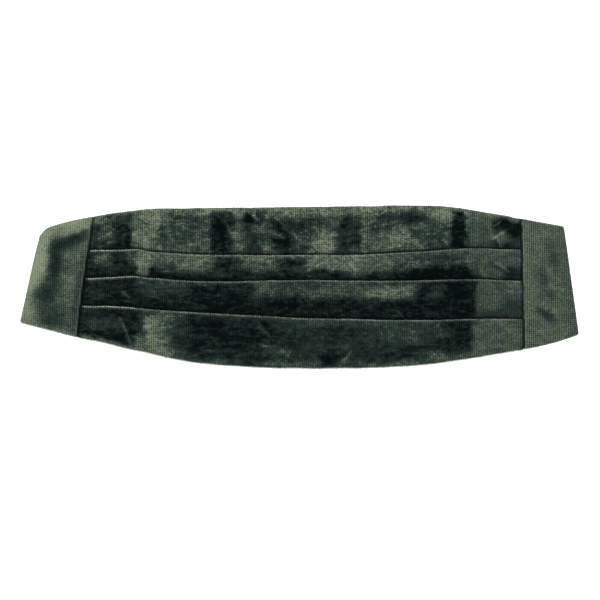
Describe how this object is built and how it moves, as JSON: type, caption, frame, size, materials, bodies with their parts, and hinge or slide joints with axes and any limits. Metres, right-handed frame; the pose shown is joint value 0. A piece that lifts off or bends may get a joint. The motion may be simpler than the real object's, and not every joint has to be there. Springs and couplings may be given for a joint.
{
  "type": "cummerbund",
  "caption": "Pleated velvet waist band with plain end tabs, a back cloth and a hooked waist strap behind, lying flat and face up.",
  "frame": {"origin": "under the middle of the whole band, on the surface that it lies on", "axes": "+X along the band to the viewer's right, +Y up its height, +Z out of its pleated face"},
  "size_m": [0.4866, 0.1416, 0.01],
  "materials": {
    "velvet": "crushed velvet",
    "back_fabric": "plain woven",
    "webbing": "ribbed webbing",
    "clasp_metal": "brushed"
  },
  "bodies": {
    "root": {"pleated_front": "velvet", "left_end_tab": "velvet", "right_end_tab": "velvet", "back_cloth": "back_fabric", "waist_strap": "webbing", "clasp_tape": "webbing", "strap_clasp": "clasp_metal"}
  },
  "joints": []
}
